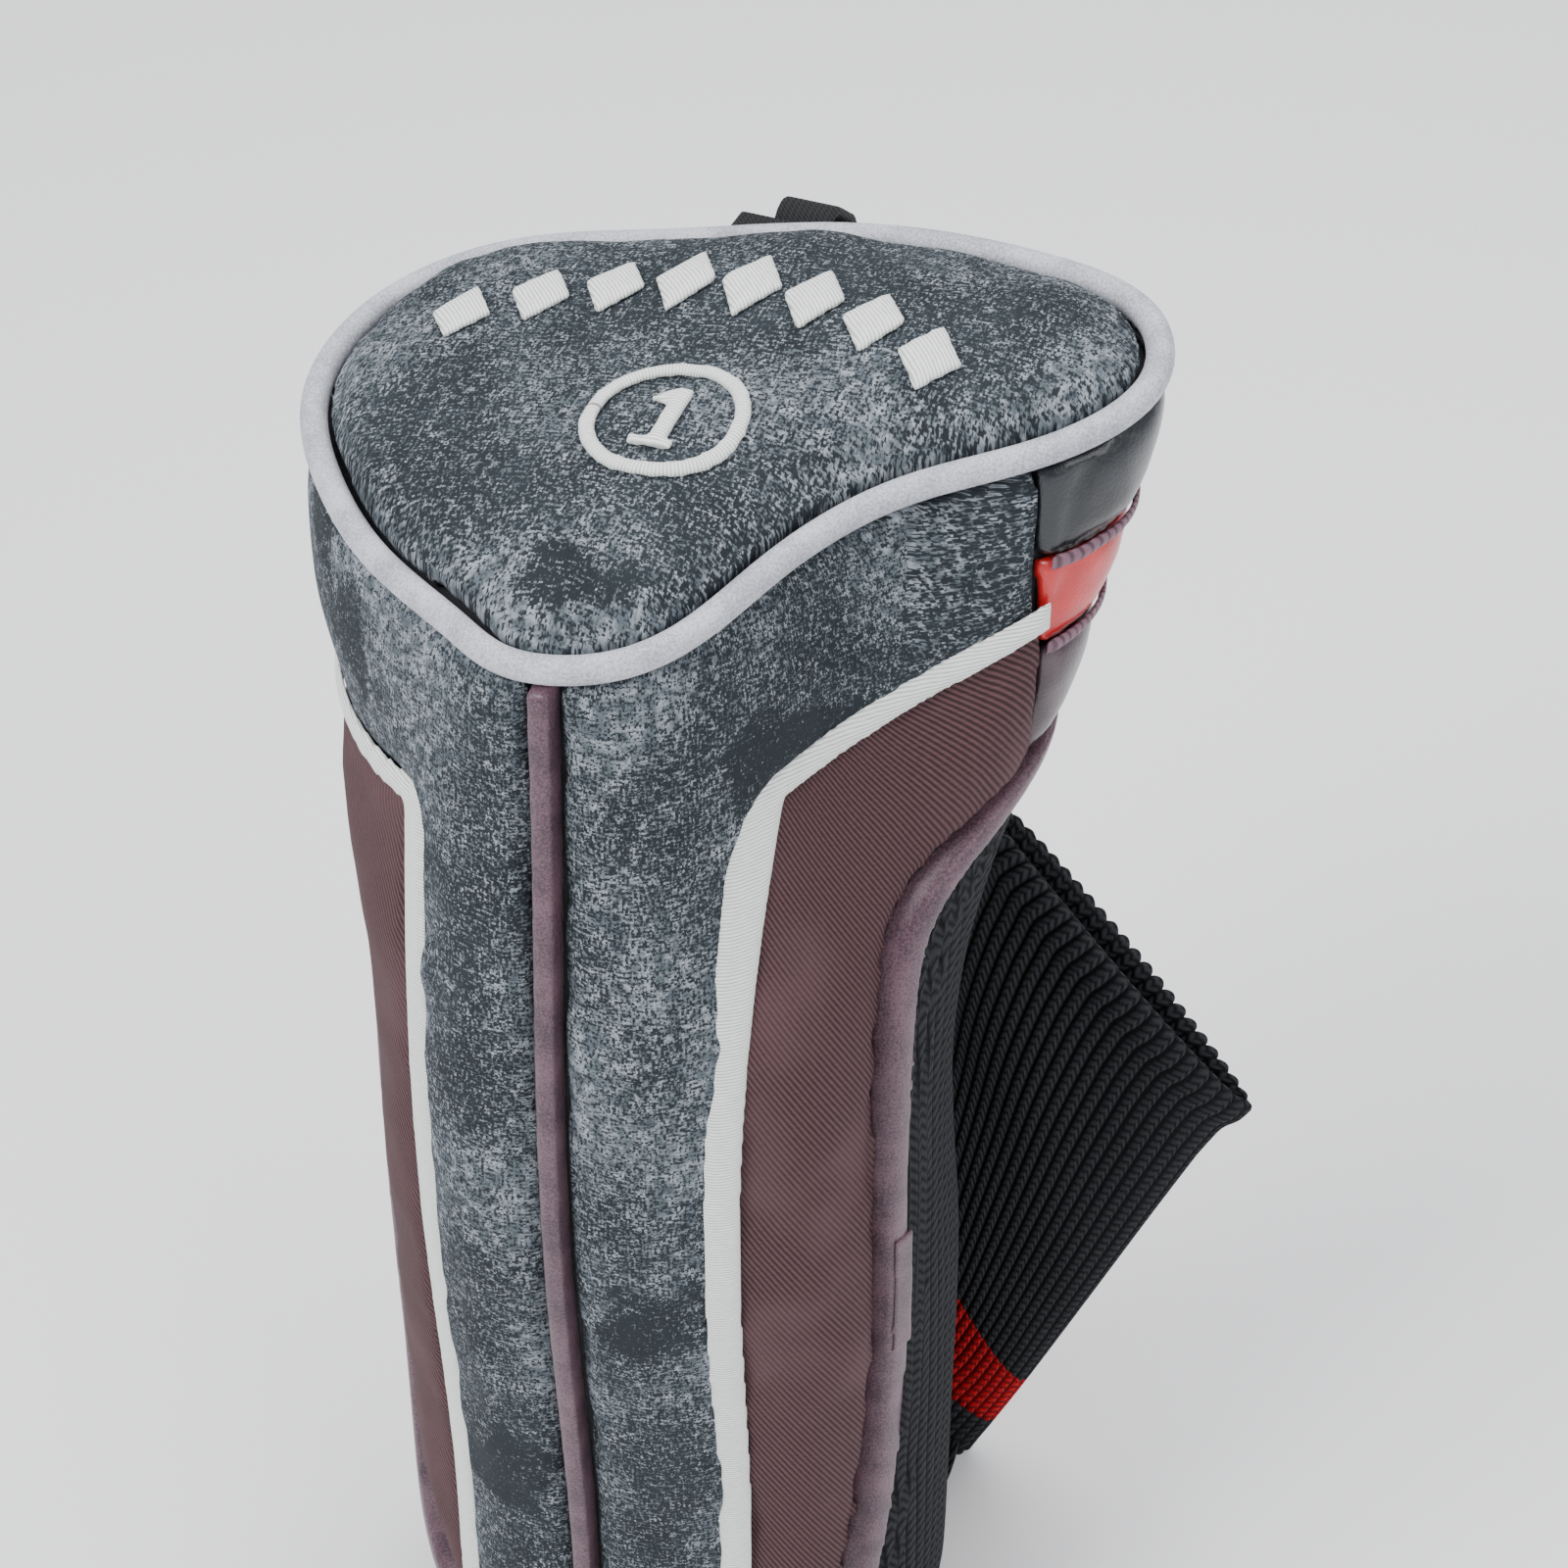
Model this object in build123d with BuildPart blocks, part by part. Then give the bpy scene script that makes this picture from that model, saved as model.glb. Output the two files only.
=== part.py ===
from build123d import *
import os
from math import cos, hypot, radians, sin, sqrt

# Driver head cover: a padded shell of sewn panels under a flat padded cap, with a
# ribbed knit sock sewn along the shell's lower edge. The sock's neck is folded up
# behind the body. Millimetres, +Z up, the front seam faces -Y, origin at the middle
# of the base that the cover stands on.

os.makedirs("parts", exist_ok=True)

# ---- Driving dimensions ------------------------------------------------------
cap_width = 134.0  # ear to ear, inside the piping
cap_depth = 106.0  # nose to back, inside the piping
cap_centre_y = 8.5
cap_height = 269.0  # cap plane above the origin
cap_tilt = 0.13  # rise per millimetre towards the right and the back
cap_crown = 7.0  # how far the padded cap stands above its piping
waist_width = 98.0
waist_depth = 94.0
waist_centre_y = -2.5
base_width = 82.0
base_depth = 74.0
base_centre_y = -1.0
base_opening_width = 60.0
base_opening_depth = 56.0

panel_thickness = 3.0  # face fabric with its foam
lining_thickness = 1.4
knit_thickness = 3.6
cap_piping_diameter = 4.6
piping_clearance = 0.2
edge_piping_width = 4.4
edge_piping_proud = 1.8
centre_piping_width = 3.6
border_width = 5.0
border_proud = 0.8
stitch_width = 3.0
emblem_proud = 1.2
splice_sleeve_proud = 0.7
splice_bottom = 112.0
splice_top = 140.0
cap_fabric_thickness = 2.2
knit_back_bottom = 100.0

front_half_width = 26.5  # from the centre seam to each border
right_corner_height = cap_height - 35
right_end_height = cap_height - 19
left_corner_height = cap_height - 43
left_end_height = cap_height - 48
border_end_x = 60.0
band_start_y = 14.0  # front edge of the back band
black_band_bottom = cap_height - 18
red_band_bottom = cap_height - 34
tongue_bottom = 22.0  # lowest point of the front tongue
tongue_side_y = -18.3  # where the edge piping runs up the sides
shell_back_height = cap_height - 47  # edge piping at the back

neck_root_width = 53.0
neck_mouth_width = 83.0
neck_thickness = 15.0
neck_wall = 3.2
neck_outline_points = 12
neck_lean = 0.06  # backward lean of the neck per millimetre of height
neck_gap = 2.0  # body to folded neck
hinge_gap = 0.8  # neck root above the fold axis
hem_proud = 1.0

loop_centre_x = -5.5
loop_tab_width = 20.0
loop_tab_drop = 13.0  # sewn length of the tab down the back band
loop_tab_thickness = 2.4
loop_tab_reach = 7.0
loop_width = 10.0
loop_webbing = 1.5
loop_length = 16.0
loop_height = 9.0
loop_rise = -38.0  # degrees above level
loop_pivot_gap = 1.2  # tab's end to the loop's pivot

joint_clearance = 0.4

emblem_x = 1.0
emblem_y = -1.0
ring_radius = 13.0
ring_band = 2.6
number_height = 13.0
number_stroke = 3.0
argyle_count = 8
argyle_x = -4.0
argyle_y = 32.0
argyle_span = 78.0
argyle_arch = 12.0
argyle_cell_width = 10.4
argyle_cell_height = 17.0

# ---- Body outline ------------------------------------------------------------
# Cap outline as shares of its half width and half depth, from the nose round the
# right ear, the back and the left ear. The right side is hollow between nose and ear.
CAP_SHAPE = [
    (0.01, -1.00), (0.26, -0.83), (0.38, -0.49), (0.58, -0.12),
    (0.85, 0.12), (1.00, 0.45), (0.92, 0.74), (0.61, 0.94),
    (0.09, 1.00), (-0.35, 0.89), (-0.76, 0.74), (-0.96, 0.45),
    (-0.98, 0.05), (-0.79, -0.36), (-0.53, -0.67), (-0.25, -0.89),
]

# Each level: height, tilt, share of the cap outline, half width, half depth, centre y.
half_width = waist_width / 2
half_depth = waist_depth / 2
BODY_LEVELS = [
    (0, 0, 0, base_width / 2, base_depth / 2, base_centre_y),
    (12, 0, 0, half_width - 1, half_depth - 4, base_centre_y),
    (60, 0, 0, half_width + 1, half_depth - 2, waist_centre_y + 1.5),
    (cap_height - 149, 0, 0, half_width + 0.5, half_depth - 0.5, waist_centre_y),
    (cap_height - 99, 0, 0, half_width - 0.5, half_depth + 0.5, waist_centre_y),
    (cap_height - 64, 0.03, 0.3, half_width, half_depth, waist_centre_y),
    (cap_height - 34, 0.08, 0.72, half_width, half_depth, waist_centre_y),
    (cap_height, cap_tilt, 1, half_width, half_depth, waist_centre_y),
]
rim_gap = cap_piping_diameter / 2 + piping_clearance  # panels and cap to the piping's centre
piping_inset = 1.0  # piping's centre inside the panels' outline
cap_edge_swing = 0.5  # how far the cap's smooth edge swings out between its outline points
cap_inset = piping_inset + rim_gap + cap_edge_swing  # cap edge clear of the piping
inside = panel_thickness + lining_thickness
reach = 200.0  # past the object on every side


def shifted(points, distance, closed):
    """The same points moved to the left of their direction of travel."""
    last = len(points) - 1
    moved = []
    for index, (x, y) in enumerate(points):
        before = points[index - 1] if closed or index > 0 else points[0]
        after = points[(index + 1) % len(points)] if closed or index < last else points[last]
        along_x = after[0] - before[0]
        along_y = after[1] - before[1]
        length = hypot(along_x, along_y)
        moved.append((x - distance * along_y / length, y + distance * along_x / length))
    return moved


def outline_points(cap_share, half_x, half_y, centre_y, inset):
    """Plan points of the body's outline, moved inwards by the inset."""
    count = len(CAP_SHAPE)
    points = []
    for index, (share_x, share_y) in enumerate(CAP_SHAPE):
        angle = radians(360 * index / count - 90)
        cap_x = share_x * cap_width / 2
        cap_y = cap_centre_y + share_y * cap_depth / 2
        waist_x = half_x * cos(angle)
        waist_y = centre_y + half_y * sin(angle)
        x = cap_share * cap_x + (1 - cap_share) * waist_x
        y = cap_share * cap_y + (1 - cap_share) * waist_y
        points.append((x, y))
    return shifted(points, inset, True)


def outline_face(height, tilt, points):
    """A closed smooth outline through plan points, on a plane that rises with the tilt."""
    plane = Plane(origin=(0, 0, height), x_dir=(1, 0, tilt), z_dir=(-tilt, -tilt, 1))
    local = [plane.to_local_coords(Vector(x, y, height + tilt * (x + y))) for x, y in points]
    with BuildSketch(plane) as section:
        with BuildLine():
            Spline(*[(point.X, point.Y) for point in local], periodic=True)
        make_face()
    return section.sketch


def body_faces(inset, bottom, top_drop):
    """Sections of the body at one inset, from a bottom height to below the cap plane."""
    faces = []
    for level, (height, tilt, cap_share, half_x, half_y, centre_y) in enumerate(BODY_LEVELS):
        if level == 0:
            height = bottom
        if level == len(BODY_LEVELS) - 1:
            height = height - top_drop
        points = outline_points(cap_share, half_x, half_y, centre_y, inset)
        faces.append(outline_face(height, tilt, points))
    return faces


def cap_faces(extra):
    """Sections of the padded cap from its seam to its crown, grown by an extra height."""
    seam = outline_points(1, half_width, half_depth, waist_centre_y, cap_inset)
    faces = []
    for share, rise in ((1, -rim_gap), (1, 1), (0.94, 0.55 * cap_crown), (0.8, 0.85 * cap_crown), (0.5, cap_crown)):
        points = [(x * share, cap_centre_y + (y - cap_centre_y) * share) for x, y in seam]
        lift = rise + extra if rise > 0 else rise
        faces.append(outline_face(cap_height + lift, cap_tilt, points))
    return faces


def edge_points(shift):
    """Side view of the shell's lower edge, from the front tongue to the back."""
    rise = cap_height - tongue_bottom
    points = [
        (-52, tongue_bottom),
        (-41, tongue_bottom + 1.5),
        (-33, tongue_bottom + 8),
        (-25.5, tongue_bottom + 24),
        (tongue_side_y - 1.2, tongue_bottom + 52),
        (tongue_side_y, tongue_bottom + 0.4 * rise),
        (tongue_side_y, tongue_bottom + 0.57 * rise),
        (tongue_side_y + 2.3, tongue_bottom + 0.655 * rise),
        (tongue_side_y + 8, tongue_bottom + 0.73 * rise),
        (tongue_side_y + 22, shell_back_height - 9),
        (tongue_side_y + 44, shell_back_height - 3),
        (reach / 2, shell_back_height),
    ]
    return shifted(points, shift, False)


def front_points(grow):
    """Front view of the grey front panels' outline, grown outwards past the border line."""
    points = []
    for sign, corner, end in ((1, right_corner_height, right_end_height), (-1, left_corner_height, left_end_height)):
        slope = (end - corner) / (border_end_x - front_half_width)
        x = front_half_width + grow
        z = corner + slope * grow - grow * sqrt(1 + slope * slope)
        side = [(sign * x, -reach), (sign * x, z), (sign * reach, z + slope * (reach - x)), (sign * reach, 2 * reach)]
        points += side if sign > 0 else side[::-1]
    return points


def side_zone(shift):
    """Everything above and in front of the shell's lower edge, moved by a shift."""
    edge = edge_points(shift)
    with BuildPart() as zone:
        with BuildSketch(Plane.YZ):
            with BuildLine():
                start = edge[0]
                end = edge[-1]
                Spline(*edge)
                Polyline(end, (end[0], 2 * reach), (-reach, 2 * reach), (-reach, start[1]), start)
            make_face()
        extrude(amount=reach, both=True)
    return zone.part


def front_zone(grow):
    """Everything within the grey front panels' outline, seen from the front."""
    with BuildPart() as zone:
        with BuildSketch(Plane.XZ):
            with BuildLine():
                Polyline(*front_points(grow), close=True)
            make_face()
        extrude(amount=reach, both=True)
    return zone.part


def layer_between(bottom, top):
    """A slab between two tilted levels, each a height and a tilt to the right."""
    with BuildPart() as zone:
        with BuildSketch(Plane.XZ):
            with BuildLine():
                Polyline(
                    (-reach, bottom[0] - bottom[1] * reach),
                    (reach, bottom[0] + bottom[1] * reach),
                    (reach, top[0] + top[1] * reach),
                    (-reach, top[0] - top[1] * reach),
                    close=True,
                )
            make_face()
        extrude(amount=reach, both=True)
    return zone.part


def box_zone(low, high):
    """A plain box between two corners."""
    size = [b - a for a, b in zip(low, high)]
    middle = [(a + b) / 2 for a, b in zip(low, high)]
    with BuildPart() as zone:
        with Locations(tuple(middle)):
            Box(*size)
    return zone.part


def half_zone(sign):
    """Everything on one side of the centre plane."""
    return box_zone((min(0, sign * reach), -reach, -reach), (max(0, sign * reach), reach, 2 * reach))


def keep(part, name):
    """Label a finished piece and write it."""
    part.label = name
    export_step(part, f"parts/{name}.step")


# ---- Layers of the body ------------------------------------------------------
with BuildPart() as body_outer:
    loft(sections=body_faces(0, 0, rim_gap))

with BuildPart() as body_core:
    loft(sections=body_faces(panel_thickness, panel_thickness, rim_gap))

with BuildPart() as body_cavity:
    loft(sections=body_faces(inside, inside, rim_gap + lining_thickness))

with BuildPart() as knit_cavity:
    loft(sections=body_faces(knit_thickness, knit_thickness, rim_gap))

with BuildPart() as thread_layer:
    loft(sections=body_faces(-border_proud, 0, rim_gap))
    add(body_outer.part, mode=Mode.SUBTRACT)

with BuildPart() as piping_layer:
    loft(sections=body_faces(-edge_piping_proud, 0, rim_gap))

with BuildPart() as sleeve_layer:
    loft(sections=body_faces(-edge_piping_proud - splice_sleeve_proud, 0, rim_gap))
    add(piping_layer.part, mode=Mode.SUBTRACT)

shell_region = side_zone(edge_piping_width / 2)
piping_region = side_zone(-edge_piping_width / 2)
band_region = box_zone((-reach, band_start_y, -reach), (reach, reach, 2 * reach))
grey_region = front_zone(0)

with BuildPart() as shell_skin:
    add(body_outer.part)
    add(body_core.part, mode=Mode.SUBTRACT)
    add(shell_region, mode=Mode.INTERSECT)

with BuildPart() as front_skin:
    add(shell_skin.part)
    add(band_region, mode=Mode.SUBTRACT)

with BuildPart() as band_skin:
    add(shell_skin.part)
    add(band_region, mode=Mode.INTERSECT)

# ---- Shell panels ------------------------------------------------------------
centre_gap = box_zone((-centre_piping_width / 2, -reach, -reach), (centre_piping_width / 2, 0, 2 * reach))
top_level = (2 * reach, 0)
black_level = (black_band_bottom, cap_tilt)
red_level = (red_band_bottom, cap_tilt)
bottom_level = (-reach, 0)
BANDS = (("black", black_level, top_level), ("red", red_level, black_level), ("mauve", bottom_level, red_level))

for side, sign in (("left", -1), ("right", 1)):
    with BuildPart() as front_panel:
        add(front_skin.part)
        add(grey_region, mode=Mode.INTERSECT)
        add(half_zone(sign), mode=Mode.INTERSECT)
        add(centre_gap, mode=Mode.SUBTRACT)
    keep(front_panel.part, f"front_panel_{side}")

    with BuildPart() as side_panel:
        add(front_skin.part)
        add(grey_region, mode=Mode.SUBTRACT)
        add(half_zone(sign), mode=Mode.INTERSECT)
    keep(side_panel.part, f"side_panel_{side}")

    with BuildPart() as border:
        add(thread_layer.part)
        add(side_zone(edge_piping_width / 2), mode=Mode.INTERSECT)
        add(front_zone(border_width / 2), mode=Mode.INTERSECT)
        add(front_zone(-border_width / 2), mode=Mode.SUBTRACT)
        add(band_region, mode=Mode.SUBTRACT)
        add(half_zone(sign), mode=Mode.INTERSECT)
    keep(border.part, f"border_{side}")

    for colour, bottom, top in BANDS:
        with BuildPart() as band:
            add(band_skin.part)
            add(layer_between(bottom, top), mode=Mode.INTERSECT)
            add(half_zone(sign), mode=Mode.INTERSECT)
        keep(band.part, f"band_{colour}_{side}")

for name, level in (("zigzag_upper", black_level), ("zigzag_lower", red_level)):
    below = (level[0] - stitch_width / 2, level[1])
    above = (level[0] + stitch_width / 2, level[1])
    with BuildPart() as zigzag:
        add(thread_layer.part)
        add(shell_region, mode=Mode.INTERSECT)
        add(band_region, mode=Mode.INTERSECT)
        add(layer_between(below, above), mode=Mode.INTERSECT)
    keep(zigzag.part, name)

# ---- Pipings -----------------------------------------------------------------
with BuildPart() as centre_piping:
    add(piping_layer.part)
    add(body_core.part, mode=Mode.SUBTRACT)
    add(shell_region, mode=Mode.INTERSECT)
    add(centre_gap, mode=Mode.INTERSECT)
keep(centre_piping.part, "centre_piping")

with BuildPart() as edge_piping:
    add(piping_layer.part)
    add(body_core.part, mode=Mode.SUBTRACT)
    add(piping_region, mode=Mode.INTERSECT)
    add(shell_region, mode=Mode.SUBTRACT)
keep(edge_piping.part, "edge_piping")

with BuildPart() as piping_splice:
    add(sleeve_layer.part)
    add(piping_region, mode=Mode.INTERSECT)
    add(shell_region, mode=Mode.SUBTRACT)
    add(box_zone((0, -reach, splice_bottom), (reach, 0, splice_top)), mode=Mode.INTERSECT)
keep(piping_splice.part, "piping_splice")

piping_plane = Plane(origin=(0, 0, cap_height), x_dir=(1, 0, cap_tilt), z_dir=(-cap_tilt, -cap_tilt, 1))
piping_plan = outline_points(1, half_width, half_depth, waist_centre_y, piping_inset)
piping_local = [
    piping_plane.to_local_coords(Vector(x, y, cap_height + cap_tilt * (x + y))) for x, y in piping_plan
]
with BuildPart() as cap_piping:
    with BuildLine(piping_plane) as piping_path:
        Spline(*[(point.X, point.Y) for point in piping_local], periodic=True)
    with BuildSketch(Plane(origin=piping_path.line @ 0, z_dir=piping_path.line % 0)):
        Circle(cap_piping_diameter / 2)
    sweep(path=piping_path.line)
keep(cap_piping.part, "cap_piping")

# ---- Cap ---------------------------------------------------------------------
with BuildPart() as cap_solid:
    loft(sections=cap_faces(0))

with BuildPart() as cap_foam_space:
    loft(sections=cap_faces(-cap_fabric_thickness))

with BuildPart() as cap_fabric:
    add(cap_solid.part)
    add(cap_foam_space.part, mode=Mode.SUBTRACT)
keep(cap_fabric.part, "cap_fabric")
keep(cap_foam_space.part, "cap_padding")

with BuildPart() as cap_grown:
    with Locations((0, 0, emblem_proud)):
        add(cap_solid.part)
    add(cap_solid.part, mode=Mode.SUBTRACT)


def emblem_piece(sketch):
    """A raised patch of embroidery over a plan sketch on the cap."""
    with BuildPart() as patch:
        extrude(sketch, amount=2 * reach)
        add(cap_grown.part, mode=Mode.INTERSECT)
        add(box_zone((-reach, -reach, 0), (reach, reach, cap_height - 2 * cap_crown)), mode=Mode.SUBTRACT)
    return patch.part


with BuildSketch() as ring_sketch:
    with Locations((emblem_x, emblem_y)):
        Circle(ring_radius)
        Circle(ring_radius - ring_band, mode=Mode.SUBTRACT)
keep(emblem_piece(ring_sketch.sketch), "emblem_ring")

with BuildSketch() as number_sketch:
    with Locations((emblem_x + 0.3 * number_stroke, emblem_y)):
        Rectangle(number_stroke, number_height)
    with Locations((emblem_x, emblem_y - number_height / 2)):
        Rectangle(2.4 * number_stroke, number_stroke / 2, align=(Align.CENTER, Align.MIN))
    with BuildLine():
        Polyline(
            (emblem_x - 0.2 * number_stroke, emblem_y + number_height / 2),
            (emblem_x - 1.3 * number_stroke, emblem_y + number_height / 4),
            (emblem_x - 0.2 * number_stroke, emblem_y + number_height / 5),
            close=True,
        )
    make_face()
keep(emblem_piece(number_sketch.sketch), "emblem_number")

with BuildSketch() as argyle_sketch:
    for index in range(argyle_count):
        share = 2 * index / (argyle_count - 1) - 1
        x = argyle_x + share * argyle_span / 2
        y = argyle_y - argyle_arch * share * share
        half_x = argyle_cell_width / 2
        half_y = argyle_cell_height / 2 * (1 - 0.25 * abs(share))
        with BuildLine():
            Polyline((x - half_x, y), (x, y - half_y), (x + half_x, y), (x, y + half_y), close=True)
        make_face()
keep(emblem_piece(argyle_sketch.sketch), "emblem_argyle")

# ---- Lining ------------------------------------------------------------------
lining_split = Plane(
    origin=(0, 0, cap_height - rim_gap - lining_thickness),
    x_dir=(1, 0, cap_tilt),
    z_dir=(-cap_tilt, -cap_tilt, 1),
)
with BuildPart() as lining:
    add(body_core.part)
    add(body_cavity.part, mode=Mode.SUBTRACT)
    add(shell_region, mode=Mode.INTERSECT)

for name, side_kept in (("cap_lining", Keep.TOP), ("shell_lining", Keep.BOTTOM)):
    with BuildPart() as lining_piece:
        add(lining.part)
        split(bisect_by=lining_split, keep=side_kept)
    keep(lining_piece.part, name)

# ---- Knit sock ---------------------------------------------------------------
with BuildPart() as knit:
    add(body_outer.part)
    add(knit_cavity.part, mode=Mode.SUBTRACT)
    add(side_zone(-edge_piping_width / 2), mode=Mode.SUBTRACT)
    with BuildSketch():
        with Locations((0, base_centre_y)):
            Ellipse(base_opening_width / 2, base_opening_depth / 2)
    extrude(amount=2 * knit_thickness, both=True, mode=Mode.SUBTRACT)

knit_levels = (("knit_base", 0, knit_thickness), ("knit_bag", knit_thickness, knit_back_bottom))
for name, low, high in knit_levels + (("knit_back", knit_back_bottom, 2 * reach),):
    with BuildPart() as knit_piece:
        add(knit.part)
        add(box_zone((-reach, -reach, low), (reach, reach, high)), mode=Mode.INTERSECT)
    keep(knit_piece.part, name)

# ---- Folded neck -------------------------------------------------------------
neck_front_y = base_centre_y + half_depth - 2 + neck_gap
neck_middle_y = neck_front_y + neck_thickness / 2


def neck_face(right, left, inset):
    """A flattened oval section between the neck's right and left edges, each (x, z)."""
    width = hypot(right[0] - left[0], right[1] - left[1])
    middle_x = (right[0] + left[0]) / 2
    middle_z = (right[1] + left[1]) / 2
    middle_y = neck_middle_y + neck_lean * middle_z
    across = ((right[0] - left[0]) / width, 0, (right[1] - left[1]) / width)
    up = (-across[2], neck_lean, across[0])
    plane = Plane(origin=(middle_x, middle_y, middle_z), x_dir=across, z_dir=up)
    oval = []
    for index in range(neck_outline_points):
        angle = radians(360 * index / neck_outline_points)
        oval.append(((width / 2 - inset) * cos(angle), (neck_thickness / 2 - inset) * sin(angle)))
    with BuildSketch(plane) as section:
        with BuildLine():
            Spline(*oval, periodic=True)
        make_face()
    return section.sketch


def neck_tube(stations, name, proud):
    """A knit tube through the stations, written as one piece."""
    with BuildPart() as tube:
        loft(sections=[neck_face(right, left, -proud) for right, left in stations], ruled=True)
    with BuildPart() as bore:
        loft(sections=[neck_face(right, left, neck_wall) for right, left in stations], ruled=True)
    with BuildPart() as piece:
        add(tube.part)
        add(bore.part, mode=Mode.SUBTRACT)
    keep(piece.part, name)


def edge_pair(right, width, slope):
    """Right and left edge points of a section whose line falls towards the right."""
    angle = radians(slope)
    return right, (right[0] - width * cos(angle), right[1] + width * sin(angle))


root = edge_pair((39, hinge_gap), neck_root_width, 0)
bend = edge_pair((40.5, 4), neck_root_width + 5, 33)
stripe_bottom = edge_pair((43.5, 10), neck_root_width + 6, 56)
stripe_top = edge_pair((49.5, 24), neck_root_width + 8, 60)
upper = edge_pair((72, 80), neck_mouth_width - 5, 49)
hem_bottom = edge_pair((81.5, 103), neck_mouth_width, 47)
mouth = edge_pair((86, 108.5), neck_mouth_width, 47)

neck_tube((root, bend, stripe_bottom), "neck_lower", 0)
neck_tube((stripe_bottom, stripe_top), "neck_stripe", 0)
neck_tube((stripe_top, upper, hem_bottom), "neck_upper", 0)
neck_tube((hem_bottom, mouth), "neck_hem", hem_proud)

# ---- Pull loop ---------------------------------------------------------------
back_y = cap_centre_y + cap_depth / 2
shelf_top = cap_height + cap_tilt * (loop_centre_x + back_y) - rim_gap - joint_clearance
shelf_bottom = shelf_top - loop_tab_thickness
tab_low_x = loop_centre_x - loop_tab_width / 2
tab_high_x = loop_centre_x + loop_tab_width / 2
shelf_end = back_y + loop_tab_reach

with BuildPart() as loop_tab:
    add(piping_layer.part)
    add(box_zone((tab_low_x, 0, shelf_top - loop_tab_drop), (tab_high_x, reach, shelf_top)), mode=Mode.INTERSECT)
    add(box_zone((tab_low_x, back_y - panel_thickness, shelf_bottom), (tab_high_x, shelf_end, shelf_top)))
    add(body_outer.part, mode=Mode.SUBTRACT)
    add(body_core.part, mode=Mode.SUBTRACT)
keep(loop_tab.part, "loop_tab")

rise = radians(loop_rise)
pivot_y = shelf_end + loop_pivot_gap
pivot_z = (shelf_bottom + shelf_top) / 2
with BuildPart() as pull_loop:
    with BuildSketch(
        Plane(origin=(loop_centre_x, pivot_y, pivot_z), x_dir=(0, cos(rise), sin(rise)), z_dir=(1, 0, 0))
    ):
        with Locations((joint_clearance + loop_length / 2, 0)):
            SlotOverall(loop_length, loop_height)
            SlotOverall(loop_length - 2 * loop_webbing, loop_height - 2 * loop_webbing, mode=Mode.SUBTRACT)
    extrude(amount=loop_width / 2, both=True)
keep(pull_loop.part, "pull_loop")
print("loop pivot", loop_centre_x, pivot_y, pivot_z)
print("neck fold", neck_front_y - neck_gap / 2, neck_middle_y)
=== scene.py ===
"""A driver head cover: padded woven shell, piped cap, glossy back band and ribbed knit sock."""

import math

import bmesh
import bpy
import numpy as np
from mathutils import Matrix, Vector, noise
from mathutils.bvhtree import BVHTree
from mathutils.kdtree import KDTree


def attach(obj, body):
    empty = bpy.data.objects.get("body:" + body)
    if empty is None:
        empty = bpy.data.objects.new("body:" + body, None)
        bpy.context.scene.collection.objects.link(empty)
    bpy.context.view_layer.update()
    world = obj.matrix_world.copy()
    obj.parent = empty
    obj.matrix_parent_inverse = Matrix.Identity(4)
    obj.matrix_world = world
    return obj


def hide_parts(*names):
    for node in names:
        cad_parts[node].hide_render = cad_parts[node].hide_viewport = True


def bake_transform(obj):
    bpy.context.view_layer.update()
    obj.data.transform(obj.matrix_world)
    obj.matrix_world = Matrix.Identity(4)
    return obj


bl_info = {
    "name": "Driver head cover",
    "version": (1, 0, 0),
    "blender": (4, 5, 0),
    "location": "View3D > Sidebar > Head cover",
    "description": "Sews the panels, pipings, embroidery and knit sock of a driver head cover",
    "category": "Add Mesh",
}

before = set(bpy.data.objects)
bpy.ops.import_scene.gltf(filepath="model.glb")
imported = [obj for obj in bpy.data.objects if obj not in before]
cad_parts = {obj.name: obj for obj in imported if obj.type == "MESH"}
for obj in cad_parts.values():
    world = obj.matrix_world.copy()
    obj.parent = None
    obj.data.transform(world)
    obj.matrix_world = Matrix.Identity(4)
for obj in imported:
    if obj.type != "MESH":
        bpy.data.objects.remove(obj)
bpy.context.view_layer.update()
MM = 0.001

FRONT_PANELS = ("front_panel_left", "front_panel_right")
SIDE_PANELS = ("side_panel_left", "side_panel_right")
BANDS = tuple(f"band_{colour}_{side}" for colour in ("black", "red", "mauve") for side in ("left", "right"))
KNIT_NODES = ("knit_base", "knit_bag", "knit_back")
NECK_NODES = ("neck_lower", "neck_stripe", "neck_upper", "neck_hem")


# ---- Shader expressions ------------------------------------------------------
class Wire:
    """A node's output that can be used in sums."""

    def __init__(self, shader, socket):
        self.shader = shader
        self.socket = socket

    def __add__(self, other):
        return self.shader.math("ADD", self, other)

    def __radd__(self, other):
        return self.shader.math("ADD", other, self)

    def __sub__(self, other):
        return self.shader.math("SUBTRACT", self, other)

    def __rsub__(self, other):
        return self.shader.math("SUBTRACT", other, self)

    def __mul__(self, other):
        return self.shader.math("MULTIPLY", self, other)

    def __rmul__(self, other):
        return self.shader.math("MULTIPLY", other, self)

    def __truediv__(self, other):
        return self.shader.math("DIVIDE", self, other)


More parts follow.
